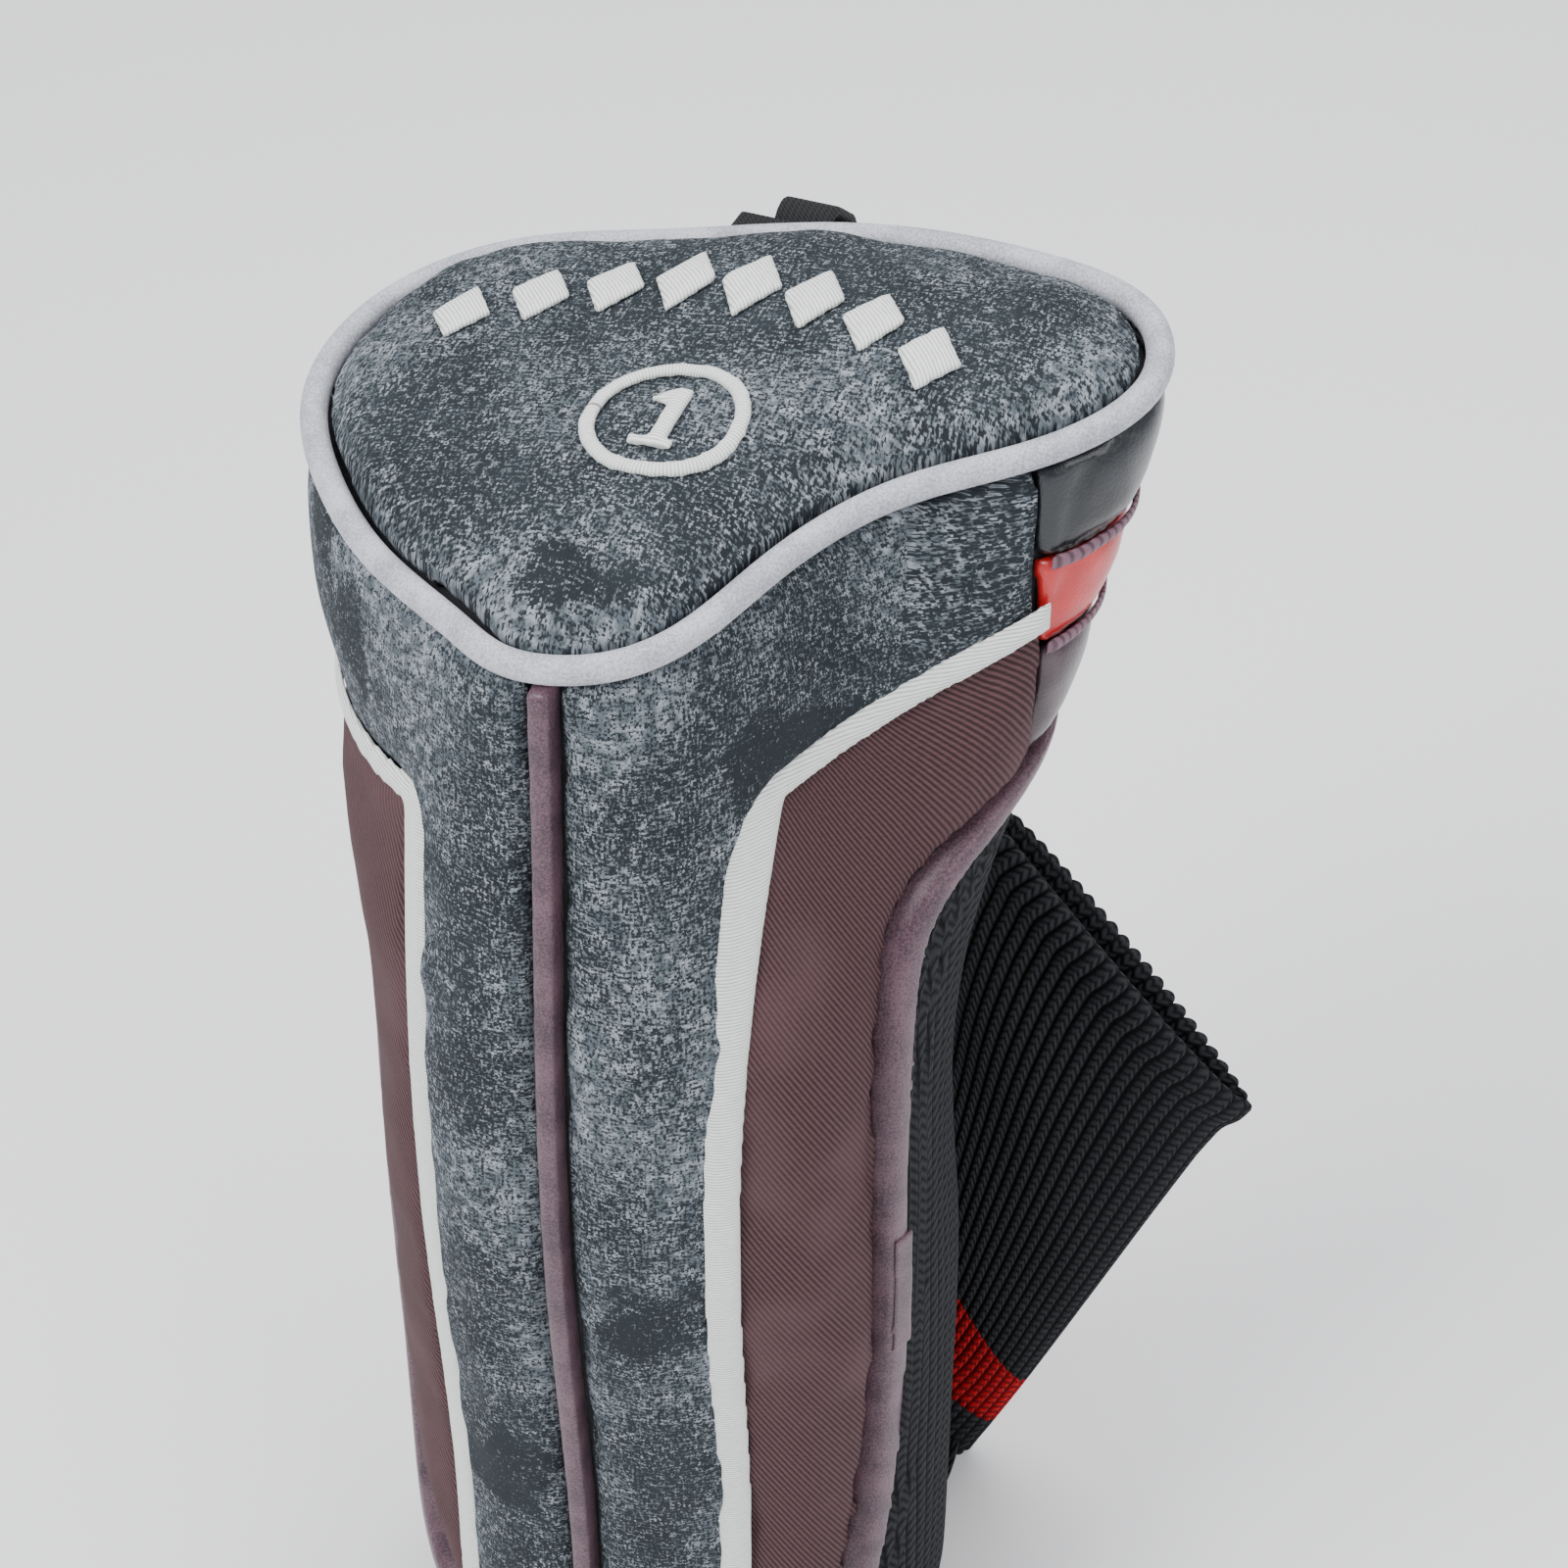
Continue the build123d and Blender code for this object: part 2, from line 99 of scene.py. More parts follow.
class Shader:
    """One procedural material, built node by node."""

    def __init__(self, name, **constants):
        self.material = bpy.data.materials.new(name)
        self.material.use_nodes = True
        self.tree = self.material.node_tree
        self.surface = self.tree.nodes["Principled BSDF"]
        for socket, value in constants.items():
            self.surface.inputs[socket.replace("_", " ")].default_value = value

    def node(self, kind, settings=None, inputs=None, output=0):
        """Add a node: settings first, then the values or links of its sockets."""
        made = self.tree.nodes.new(kind)
        for key, value in (settings or {}).items():
            setattr(made, key, value)
        for key, value in (inputs or {}).items():
            if isinstance(value, Wire):
                self.tree.links.new(value.socket, made.inputs[key])
            else:
                made.inputs[key].default_value = value
        return Wire(self, made.outputs[output])

    def math(self, operation, first, second=0.0):
        return self.node("ShaderNodeMath", {"operation": operation}, {0: first, 1: second})

    def sine(self, value):
        return self.math("SINE", value)

    def smaller(self, first, second):
        return self.math("MINIMUM", first, second)

    def step(self, value, low, high):
        """0 below low, 1 above high, smooth between."""
        limits = {0: value, 1: low, 2: high, 3: 0.0, 4: 1.0}
        return self.node("ShaderNodeMapRange", {"interpolation_type": "SMOOTHSTEP"}, limits)

    def uv(self, name="weave"):
        """The u and v of a piece's own map, in metres or in stitches."""
        layer = self.node("ShaderNodeUVMap", {"uv_map": name})
        split = self.tree.nodes.new("ShaderNodeSeparateXYZ")
        self.tree.links.new(layer.socket, split.inputs[0])
        return Wire(self, split.outputs[0]), Wire(self, split.outputs[1])

    def place(self):
        """Object coordinates, whole and split."""
        coords = self.tree.nodes.new("ShaderNodeTexCoord")
        split = self.tree.nodes.new("ShaderNodeSeparateXYZ")
        self.tree.links.new(coords.outputs["Object"], split.inputs[0])
        return Wire(self, coords.outputs["Object"]), [Wire(self, split.outputs[i]) for i in range(3)]

    def vector(self, x, y, z=0.0):
        return self.node("ShaderNodeCombineXYZ", None, {0: x, 1: y, 2: z})

    def attribute(self, name):
        """A number that is stored at each of the piece's points."""
        return self.node("ShaderNodeAttribute", {"attribute_name": name}, None, 2)

    def noise(self, vector, scale, detail=2.0, roughness=0.5):
        sockets = {"Vector": vector, "Scale": scale, "Detail": detail, "Roughness": roughness}
        return self.node("ShaderNodeTexNoise", None, sockets)

    def mix(self, factor, first, second):
        """Mix two colours."""
        sockets = {0: factor, 6: self.colour(first), 7: self.colour(second)}
        return self.node("ShaderNodeMix", {"data_type": "RGBA"}, sockets, 2)

    @staticmethod
    def colour(value):
        return (*value, 1) if isinstance(value, tuple) and len(value) == 3 else value

    def bump(self, height, distance, strength=1.0):
        sockets = {"Strength": strength, "Distance": distance, "Height": height}
        return self.node("ShaderNodeBump", None, sockets)

    def feed(self, **links):
        """Link what varies over the surface to the finished shader."""
        for socket, value in links.items():
            self.tree.links.new(value.socket, self.surface.inputs[socket.replace("_", " ")])
        return self.material


# ---- Shaping -----------------------------------------------------------------
def mixed(a, b, share):
    return a + (b - a) * share


def welded(*nodes):
    """The CAD nodes' own triangles, joined at their corners."""
    bm = bmesh.new()
    for node in nodes:
        bm.from_mesh(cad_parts[node].data)
    bmesh.ops.remove_doubles(bm, verts=bm.verts, dist=0.005 * MM)
    return bm


def from_axis(point):
    """Straight out from the cover's upright axis."""
    return Vector((point.x, point.y + 0.002, 0)).normalized()


def around(point):
    """Distance round the waist from the front seam and height, for a weave that follows the body."""
    return 0.049 * math.atan2(point.x, -(point.y + 0.002)), point.z


def evened(bm, voxel):
    """The same closed form in small faces of one size."""
    mesh = bpy.data.meshes.new("draft")
    bm.to_mesh(mesh)
    bm.free()
    draft = bpy.data.objects.new("draft", mesh)
    bpy.context.scene.collection.objects.link(draft)
    remesh = draft.modifiers.new("even", "REMESH")
    remesh.mode = "VOXEL"
    remesh.voxel_size = voxel
    even = bpy.data.meshes.new_from_object(draft.evaluated_get(bpy.context.evaluated_depsgraph_get()))
    bpy.data.objects.remove(draft)
    made = bmesh.new()
    made.from_mesh(even)
    bpy.data.meshes.remove(even)
    bpy.data.meshes.remove(mesh)
    return made


def softened(bm, rounds):
    for _ in range(rounds):
        bmesh.ops.smooth_vert(
            bm, verts=bm.verts, factor=0.5, use_axis_x=True, use_axis_y=True, use_axis_z=True
        )
    bm.normal_update()


def seam_distance(bm, outward):
    """For each point of the outer skin, how far the piece's own seam is."""
    facing = [(vert, vert.normal.dot(outward(vert.co))) for vert in bm.verts]
    rim = [vert for vert, share in facing if abs(share) <= 0.5]
    tree = KDTree(len(rim))
    for index, vert in enumerate(rim):
        tree.insert(vert.co, index)
    tree.balance()
    return {vert: tree.find(vert.co)[2] for vert, share in facing if share > 0.5}


def crowned(bm, outward, rise, reach, sink=0.0, pucker=0.0, crumple=0.0):
    """Swell a padded skin between its seams, pull the seams in, and gather the cloth along them."""
    moves = {}
    seam = bm.verts.layers.float.new("seam")
    for vert, gap in seam_distance(bm, outward).items():
        vert[seam] = gap
        swell = rise * (1 - math.exp(-((gap / reach) ** 2)))
        gather = math.exp(-gap / (5 * MM))
        lift = swell - sink * math.exp(-((gap / (2 * MM)) ** 2))
        lift += pucker * gather * noise.noise(vert.co * 190)
        lift += crumple * noise.noise(vert.co * 34 + Vector((3, 1, 2)))
        lift += 0.5 * crumple * noise.noise(vert.co * 85)
        moves[vert] = vert.normal * lift
    for vert, move in moves.items():
        vert.co += move


def mapped(bm, unwrap, name="weave"):
    """Give every corner its place in the piece's own pattern."""
    layer = bm.loops.layers.uv.get(name) or bm.loops.layers.uv.new(name)
    for face in bm.faces:
        for loop in face.loops:
            loop[layer].uv = unwrap(loop.vert.co)


def finished(name, bm, material, body="cover", nodes=(), slot=None):
    """Turn a form into a shown piece that rides on its body."""
    mesh = bpy.data.meshes.new(name)
    bm.to_mesh(mesh)
    bm.free()
    mesh.shade_smooth()
    mesh.materials.append(material)
    piece = bpy.data.objects.new(name, mesh)
    bpy.context.scene.collection.objects.link(piece)
    if body:
        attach(piece, body)
    if nodes:
        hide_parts(*nodes)
    return piece


def swollen(bm, limit):
    """Blow the padded form up as cloth, and keep only a limited part of each point's travel."""
    mesh = bpy.data.meshes.new("pad")
    bm.to_mesh(mesh)
    pad = bpy.data.objects.new("pad", mesh)
    bpy.context.scene.collection.objects.link(pad)
    cloth = pad.modifiers.new("cloth", "CLOTH").settings
    cloth.use_pressure = True
    cloth.uniform_pressure_force = 4
    cloth.effector_weights.gravity = 0
    cloth.quality = 4
    for step in range(1, 21):
        bpy.context.scene.frame_set(step)
    graph = bpy.context.evaluated_depsgraph_get()
    simulated = pad.evaluated_get(graph).data
    points = [vertex.co.copy() for vertex in simulated.vertices]
    bpy.data.objects.remove(pad)
    bpy.data.meshes.remove(mesh)
    bpy.context.scene.frame_set(1)
    bm.verts.ensure_lookup_table()
    for vert, point in zip(bm.verts, points):
        travel = point - vert.co
        if travel.length > limit:
            travel *= limit / travel.length
        vert.co += travel
    bm.normal_update()
    return bm


def gridded(columns, rows, place, scale, closed=False):
    """A woven grid laid out by place(s, t), where s and t run from 0 to 1; its map runs to the scale."""
    bm = bmesh.new()
    bmesh.ops.create_grid(bm, x_segments=columns, y_segments=rows, size=0.5)
    mapped(bm, lambda co: ((co.x + 0.5) * scale[0], (co.y + 0.5) * scale[1]))
    for vert in bm.verts:
        vert.co = place(vert.co.x + 0.5, vert.co.y + 0.5)
    if closed:
        bmesh.ops.remove_doubles(bm, verts=bm.verts, dist=0.01 * MM)
    bmesh.ops.recalc_face_normals(bm, faces=bm.faces)
    return bm


# ---- Materials ---------------------------------------------------------------
def tweed(name):
    """Worn woven face cloth: slate yarn with pale flecks, paler near the seams."""
    cloth = Shader(name, Roughness=0.85, Specular_IOR_Level=0.2)
    u, v = cloth.uv()
    place, _ = cloth.place()
    seam = cloth.attribute("seam")
    turn = 2 * math.pi / (0.95 * MM)
    over = cloth.step(cloth.sine(u * turn) * cloth.sine(v * turn), -0.25, 0.25)
    warp = cloth.noise(cloth.vector(u * 2100, v * 620), 1, 1)
    weft = cloth.noise(cloth.vector(u * 620, v * 2100), 1, 1)
    yarn = over * warp + (1.0 - over) * weft
    cloud = cloth.noise(place, 38, 5)
    bare = cloth.step(cloth.noise(place, 24, 3), 0.60, 0.64)
    rubbed = 1.0 - cloth.step(seam, 1 * MM, 12 * MM)
    wear = cloth.step(cloud, 0.36, 0.68) * 0.12 + rubbed * 0.04 - bare * 0.12
    fleck = cloth.step(yarn + wear, 0.52, 0.70)
    slub = cloth.step(cloth.noise(cloth.vector(u * 1300, v * 260), 1, 2), 0.66, 0.72) * (1.0 - bare)
    bright = cloth.step(cloth.noise(place, 420, 3), 0.35, 0.70)
    pale = cloth.mix(bright, (0.11, 0.132, 0.152), (0.36, 0.40, 0.44))
    dark = cloth.mix(cloth.noise(place, 90), (0.008, 0.011, 0.014), (0.026, 0.034, 0.040))
    colour = cloth.mix(cloth.smaller(fleck * 0.8 + slub * 0.35, 1.0), dark, pale)
    relief = yarn + over * 0.3 + cloth.noise(place, 2600) * 0.4
    return cloth.feed(Base_Color=colour, Normal=cloth.bump(relief, 0.25 * MM, 0.8))


def twill(name):
    """Fine corded twill of the side panels, its colour painted darker between the cords as painted shade.
    """
    cloth = Shader(name, Roughness=0.8, Specular_IOR_Level=0.2)
    u, v = cloth.uv()
    place, _ = cloth.place()
    cord = cloth.sine((u + v * 0.55) * (2 * math.pi / (0.95 * MM))) * 0.5 + 0.5
    nap = cloth.noise(cloth.vector(u * 900, v * 2400), 1, 2)
    cord_shade_and_nap = cord * 0.55 + nap * 0.45
    # Painted shade: dark in the grooves between the diagonal cords, light on their crests, with random nap
    # tone mixed in.
    colour = cloth.mix(cloth.step(cord_shade_and_nap, 0.2, 0.85), (0.030, 0.014, 0.016), (0.105, 0.052, 0.057))
    colour = cloth.mix(cloth.step(cloth.noise(place, 40), 0.45, 0.7) * 0.35, colour, (0.12, 0.066, 0.072))
    return cloth.feed(Base_Color=colour, Normal=cloth.bump(cord_shade_and_nap, 0.2 * MM, 0.8))


def wound(name, low, high, pitch, roughness, sheen):
    """Threads laid side by side across a strip; the map's u runs along the strip. The colour is painted
    lighter on each thread's crest and darker between threads, as painted shade.
    """
    cloth = Shader(
        name, Roughness=roughness, Specular_IOR_Level=0.45, Sheen_Weight=sheen, Sheen_Roughness=0.35
    )
    u, v = cloth.uv()
    place, _ = cloth.place()
    lean = cloth.noise(place, 260, 1) * 0.35 * MM
    ridge = cloth.sine((u + lean) * (2 * math.pi / pitch)) * 0.5 + 0.5
    fibre = cloth.noise(cloth.vector(u * 5200, v * 700), 1, 2)
    cord_shade_and_nap = ridge * 0.6 + fibre * 0.4
    # Painted shade: dark in the grooves between threads, light on their crests, with random fibre tone
    # mixed in.
    colour = cloth.mix(cloth.step(cord_shade_and_nap, 0.12, 0.6), low, high)
    return cloth.feed(Base_Color=colour, Normal=cloth.bump(cord_shade_and_nap, 0.22 * MM, 0.9))


def satin(name, low, high, roughness=0.42):
    """Smooth bias-cut cord covering with a faint lengthwise grain and soft puckers."""
    cloth = Shader(name, Roughness=roughness, Specular_IOR_Level=0.4, Sheen_Weight=0.1, Sheen_Roughness=0.3)
    place, _ = cloth.place()
    pucker = cloth.noise(place, 150, 1)
    grain = cloth.noise(place, 2600, 2)
    colour = cloth.mix(cloth.step(pucker * 0.35 + grain * 0.65, 0.34, 0.66), low, high)
    return cloth.feed(Base_Color=colour, Normal=cloth.bump(pucker * 0.4 + grain * 0.5, 0.2 * MM, 0.6))


def gloss(name, low, high):
    """Coated leather: fine grain under a glossy top coat."""
    skin = Shader(name, Specular_IOR_Level=0.4, Coat_Weight=0.35, Coat_Roughness=0.16)
    place, _ = skin.place()
    grain_scale = {"Vector": place, "Scale": 900}
    cells = skin.node("ShaderNodeTexVoronoi", {"feature": "DISTANCE_TO_EDGE"}, grain_scale)
    grain = skin.step(cells, 0.0, 0.16)
    ripple = skin.noise(place, 120, 2)
    colour = skin.mix(skin.step(ripple, 0.3, 0.75), low, high)
    rough = 0.24 + skin.noise(place, 60) * 0.16
    return skin.feed(
        Base_Color=colour, Roughness=rough, Normal=skin.bump(grain * 0.25 + ripple * 1.5, 0.18 * MM, 0.6)
    )


def knit(name, low, high):
    """Ribbed knit: rows of slanted stitches meet in a V on each rib; u counts ribs and v counts rows. Light
    is painted into the colour: a painted highlight along the middle of each stitch leg and painted shade in
    the grooves between ribs.
    """
    wool = Shader(name, Roughness=0.9, Specular_IOR_Level=0.15)
    u, v = wool.uv()
    place, _ = wool.place()
    side = wool.math("PINGPONG", u, 0.5) * 2.0
    leg = wool.sine(wool.math("FRACT", v + side * 0.85) * math.pi)
    fuzz = wool.noise(place, 1700, 2)
    groove = wool.step(side, 0.62, 1.0)
    height = leg * (1.0 - groove) + fuzz * 0.35
    # Painted highlight along each stitch leg's middle, and painted shade that darkens the rib grooves by
    # 0.85.
    colour = wool.mix(wool.smaller(leg * 0.7 + fuzz * 0.45, 1.0) * (1.0 - groove * 0.85), low, high)
    return wool.feed(Base_Color=colour, Normal=wool.bump(height, 0.5 * MM, 0.9))


def webbing(name, low, high):
    """Flat woven tape with fine slanted cords, its colour painted darker between the cords as painted
    shade.
    """
    tape = Shader(name, Roughness=0.75, Specular_IOR_Level=0.25)
    place, (x, y, z) = tape.place()
    cord = tape.sine((x * 1.0 + y * 0.8 + z * 0.8) * (2 * math.pi / (0.8 * MM)))
    rib = tape.sine(x * (2 * math.pi / (1.0 * MM)))
    cord_shade_and_nap = cord * 0.3 + rib * 0.2 + tape.noise(place, 1500) * 0.4 + 0.3
    # Painted shade: darker in the grooves between cords and ribs, with random fibre tone mixed in.
    return tape.feed(Base_Color=tape.mix(cord_shade_and_nap, low, high), Normal=tape.bump(cord_shade_and_nap, 0.25 * MM, 0.8))


def plain(name, low, high, roughness, scale):
    """Lining with a soft nap."""
    stuff = Shader(name, Roughness=roughness, Specular_IOR_Level=0.2, Sheen_Weight=0.2)
    place, _ = stuff.place()
    nap = stuff.noise(place, scale, 3)
    return stuff.feed(Base_Color=stuff.mix(nap, low, high), Normal=stuff.bump(nap, 0.3 * MM, 0.7))


# ---- The body's own surface and seams ------------------------------------------
# Side view of the shell's lower edge as the CAD draws it: y and z in mm, front tongue to back
EDGE_LINE = (
    (-52, 22), (-41, 23.5), (-33, 30), (-25.5, 46), (-19.5, 74), (-18.3, 120.8), (-18.3, 162.8),
    (-16, 183.8), (-10.3, 202.3), (3.7, 213), (25.7, 219), (100, 222),
)
EDGE_Y = [y * MM for y, _ in EDGE_LINE]
EDGE_Z = [z * MM for _, z in EDGE_LINE]
# The edge line in small steps, for the distance to it
fine_z = np.concatenate([np.linspace(a, b, 40) for a, b in zip(EDGE_Z, EDGE_Z[1:])])
fine_y = np.interp(fine_z, EDGE_Z, EDGE_Y)


def behind_edge(point):
    """How far a point lies behind the shell's lower edge in side view; negative within the shell."""
    gap = float(np.min(np.hypot(fine_y - point.y, fine_z - point.z)))
    inside = point.z > EDGE_Z[0] and point.y < np.interp(point.z, EDGE_Z, EDGE_Y)
    return -gap if inside else gap


class Skin:
    """The outside of the CAD body, found by looking at it from outside."""

    def __init__(self, *nodes):
        form = welded(*nodes)
        self.tree = BVHTree.FromBMesh(form)
        form.free()

    def at(self, angle, height):
        """The outermost point at an angle from the front seam, seen along the level."""
        out = Vector((math.sin(angle), -math.cos(angle), 0))
        middle = Vector((0, -0.002, height))
        hit = self.tree.ray_cast(middle + out * 0.2, -out)[0]
        return hit if hit else middle + out * 0.045

    def below(self, x, y):
        """The highest point over a plan position."""
        return self.tree.ray_cast(Vector((x, y, 0.4)), Vector((0, 0, -1)))[0]


body_skin = Skin(*FRONT_PANELS, *SIDE_PANELS, *BANDS, *KNIT_NODES, "edge_piping")


# ---- Padded panels and bands ----------------------------------------------------
def pad_panel(node, material, slot, rise, reach, settings):
    """One padded panel: even cloth, blown up between its seams and gathered along them."""
    form = evened(welded(node), settings.panel_grid)
    softened(form, 2)
    form = swollen(form, 0.9 * MM)
    crowned(form, from_axis, rise, reach, 0.7 * MM, 0.7 * MM, 1.0 * MM)
    softened(form, 1)
    mapped(form, around)
    panel = finished(f"{node}_pad", form, material, nodes=[node], slot=slot)
    return panel


def upward(point):
    return Vector((0, 0, 1))


def cap_piece(settings, material):
    """The crowned cap: one padded round that drops to its piping, with soft hollows."""
    form = evened(welded("cap_fabric", "cap_padding"), settings.panel_grid)
    softened(form, 2)
    form = swollen(form, 1.2 * MM)
    crowned(form, upward, 2.2 * MM, 13 * MM, 0.9 * MM, 0.8 * MM, 1.3 * MM)
    softened(form, 2)
    mapped(form, lambda co: (co.x, co.y))
    cap = finished("cap_pad", form, material, nodes=["cap_fabric", "cap_padding"], slot="grey_tweed")
    return cap


def cord_piece(node, material, slot, grid, rise, rounds=3, outward=from_axis, unwrap=around, lift=None):
    """A corded strip: the CAD strip in fine faces, rounded over and a little uneven."""
    form = evened(welded(node), grid)
    softened(form, rounds)
    if rise:
        crowned(form, outward, rise, 1.3 * MM, 0.0, 0.0, 0.1 * MM)
        softened(form, 2)
    mapped(form, unwrap)
    if lift:
        for vert in form.verts:
            vert.co.z += lift(vert.co)
    return finished(f"{node}_cord", form, material, nodes=[node], slot=slot)


# ---- Knit -------------------------------------------------------------------------
SOCK_RUN = 236 * MM  # from the base opening's rim up to the sock's sewn top
PIPING_HALF = 2.2 * MM
CHAIN_WIDTH = 2.8 * MM  # three chains of stitches run along the piping
UNDER_PIPING = 3.2 * MM
UNDER_SHELL = 4.0 * MM
BODY_ROW = 2.5 * MM
NECK_ROW = 2.4 * MM
NECK_RUN = 150 * MM  # length of the neck's outside, root to mouth


def flat_area(bm):
    """The knit's area once its ribs are pulled flat."""
    return sum(face.calc_area() for face in bm.faces)


def rib(count):
    """A rounded rib with a narrow groove; whole numbers are the ribs' crests."""
    return abs(math.cos(math.pi * count)) ** 0.7


def knit_body_point(settings, s, t):
    """The sock's outside from the base opening's rim, round under the edge and up the body."""
    angle = 2 * math.pi * s
    base_fold = 13 * MM
    run = t * SOCK_RUN
    out = Vector((math.sin(angle), -math.cos(angle), 0))
    height = max(run - base_fold, 0)
    wall = body_skin.at(angle, max(height, 3 * MM))
    level = 0.9 * MM + height
    if run < base_fold:
        rim = Vector((0.0295 * math.sin(angle), -0.0275 * math.cos(angle) - 0.001, 0))
        foot = Vector((wall.x, wall.y, 0))
        share = run / base_fold
        point = rim.lerp(foot, math.sin(share * math.pi / 2) ** 0.8)
        level = 0.9 * MM + 2.5 * MM * max(0.0, share - 0.75) ** 2 * 4
        rest = Vector((point.x, point.y, level))
        return rest + out * 0.2 * MM * rib(s * settings.body_ribs)
    if height < 4 * MM:
        level += 0.6 * MM * (1 - height / (4 * MM))
    point = Vector((wall.x, wall.y, level))
    gap = behind_edge(point)
    if gap > PIPING_HALF + 3 * CHAIN_WIDTH:
        relief = settings.rib_depth * (rib(s * settings.body_ribs) - 0.55)
    elif gap > PIPING_HALF:
        relief = settings.rib_depth * 1.1 * (rib((gap - PIPING_HALF) / CHAIN_WIDTH - 0.5) - 0.4)
    elif gap > -PIPING_HALF:
        relief = -UNDER_PIPING
    else:
        relief = -UNDER_SHELL
    sag = 0.5 * MM * noise.noise(Vector((s * 14, t * 8, 2)))
    return point + out * (relief + sag)


def knit_body(settings, material):
    columns = settings.body_ribs * 4
    scale = (settings.body_ribs, SOCK_RUN / BODY_ROW)
    form = gridded(columns, 118, lambda s, t: knit_body_point(settings, s, t), scale, True)
    around_it = 440 * MM
    flat = (around_it, flat_area(form) / around_it)
    sock = finished("knit_sock", form, material, nodes=KNIT_NODES, slot="black_knit")
    wall = sock.modifiers.new("wall", "SOLIDIFY")
    wall.thickness = 1.2 * MM
    wall.offset = -1
    return sock


# The neck's sections from root to mouth: right edge x and z, width, fall to the right in degrees
NECK_LINE = (
    (39, 0.8, 53, 0), (40.5, 4, 58, 33), (43.5, 10, 59, 56), (49.5, 24, 61, 60),
    (60, 50, 69, 55), (72, 80, 78, 49), (81.5, 103, 83, 47), (86, 108.5, 83, 47),
)
NECK_AT = (0.0, 0.03, 0.09, 0.22, 0.46, 0.73, 0.93, 1.0)
STRIPE_FROM, STRIPE_TO = 0.09, 0.22
oval_turn = np.linspace(0, 2 * math.pi, 721)
oval_steps = np.hypot(np.diff(np.cos(oval_turn)), np.diff(0.2 * np.sin(oval_turn)))
oval_run = np.concatenate([[0], np.cumsum(oval_steps)]) / oval_steps.sum()


def neck_section(along):
    """The neck's section at a share of its length: its middle, its wide direction and its width."""
    near = along + np.linspace(-0.07, 0.07, 5) * min(1.0, along / 0.1, (1.0 - along) / 0.1)
    right_x, right_z, width, slope = (
        float(np.interp(near, NECK_AT, [line[i] for line in NECK_LINE]).mean()) for i in range(4)
    )
    lean = math.radians(slope)
    wide = Vector((math.cos(lean), 0, -math.sin(lean)))
    right = Vector((right_x, 0, right_z))
    middle = (right - wide * width / 2) * MM
    middle.y = 0.0535 + 0.06 * middle.z
    return middle, wide, width * MM


def neck_point(settings, s, t, low, high):
    """A point of the neck's outside, and past its mouth the hem that rolls over to the inside."""
    turn = float(np.interp(s, oval_run, oval_turn))
    slant = 0.055 * (0.5 - 0.5 * math.cos(turn))  # the stripe is deeper on its left
    low += slant if low == STRIPE_TO else 0.0
    high += slant if high == STRIPE_TO else 0.0
    along = low + (high - low) * t
    roll = max(0.0, along - 1.0)
    middle, wide, width = neck_section(min(along, 1.0))
    bunch = noise.noise(Vector((math.cos(turn) * 1.2, math.sin(turn) * 0.8, along * 5))) * 1.5 * MM
    depth = mixed(7.3 * MM, 4.4 * MM, min(1.0, along) ** 2) + bunch * (1.0 - 0.6 * min(1.0, along))
    inset = 0.0
    forward = 0.0
    if roll:
        over = min(1.0, roll / 0.04)
        inset = 2.4 * MM * (0.5 - 0.5 * math.cos(over * math.pi))
        forward = 1.5 * MM * math.sin(over * math.pi) - max(0.0, roll - 0.04) * 0.12
    crest = rib(s * settings.neck_ribs)
    relief = settings.rib_depth * (crest - 0.5) * (1.0 if roll < 0.04 else -0.4)
    hem = 0.9 * MM * math.exp(-(((along - 0.975) / 0.03) ** 2))
    half = width / 2 - inset + relief + hem
    deep = depth - inset + relief + hem
    point = middle + wide * math.cos(turn) * half + Vector((0, 1, 0)) * math.sin(turn) * deep
    axis = Vector((-wide.z, 0, wide.x))
    scallop = 0.9 * MM * crest * math.exp(-(((along - 1.02) / 0.04) ** 2))
    return point + axis * (forward + scallop)


def neck_piece(settings, name, material, slot, nodes, low, high, rows):
    columns = settings.neck_ribs * 8
    length = (high - low) * NECK_RUN
    around_it = 3.0 * neck_section((low + min(high, 1.0)) / 2)[2]
    scale = (settings.neck_ribs, length / NECK_ROW)
    form = gridded(columns, rows, lambda s, t: neck_point(settings, s, t, low, high), scale, True)
    flat = (around_it, flat_area(form) / around_it)
    piece = finished(name, form, material, body="neck", nodes=nodes, slot=slot)
    wall = piece.modifiers.new("wall", "SOLIDIFY")
    wall.thickness = 1.0 * MM
    wall.offset = -1
    return piece


def fold_piece(settings, material):
    """The knit that runs on from the sock's back edge to the neck and creases between them."""

    fold_ribs = 17
    fold_width = 51 * MM

    def place(s, t):
        x = -13 * MM + fold_width * s
        y = mixed(38 * MM, 50 * MM, t)
        z = 1.4 * MM + 4.5 * MM * (2 * t - 1) ** 2
        return Vector((x, y, z + 0.5 * MM * rib(s * fold_ribs)))

    form = gridded(fold_ribs * 8, 16, place, (fold_ribs, 5))
    flat = (fold_width, flat_area(form) / fold_width)
    piece = finished("knit_fold", form, material, body=None, slot="black_knit")
    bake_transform(piece)
    wall = piece.modifiers.new("wall", "SOLIDIFY")
    wall.thickness = 1.0 * MM
    wall.offset = 0
    return piece


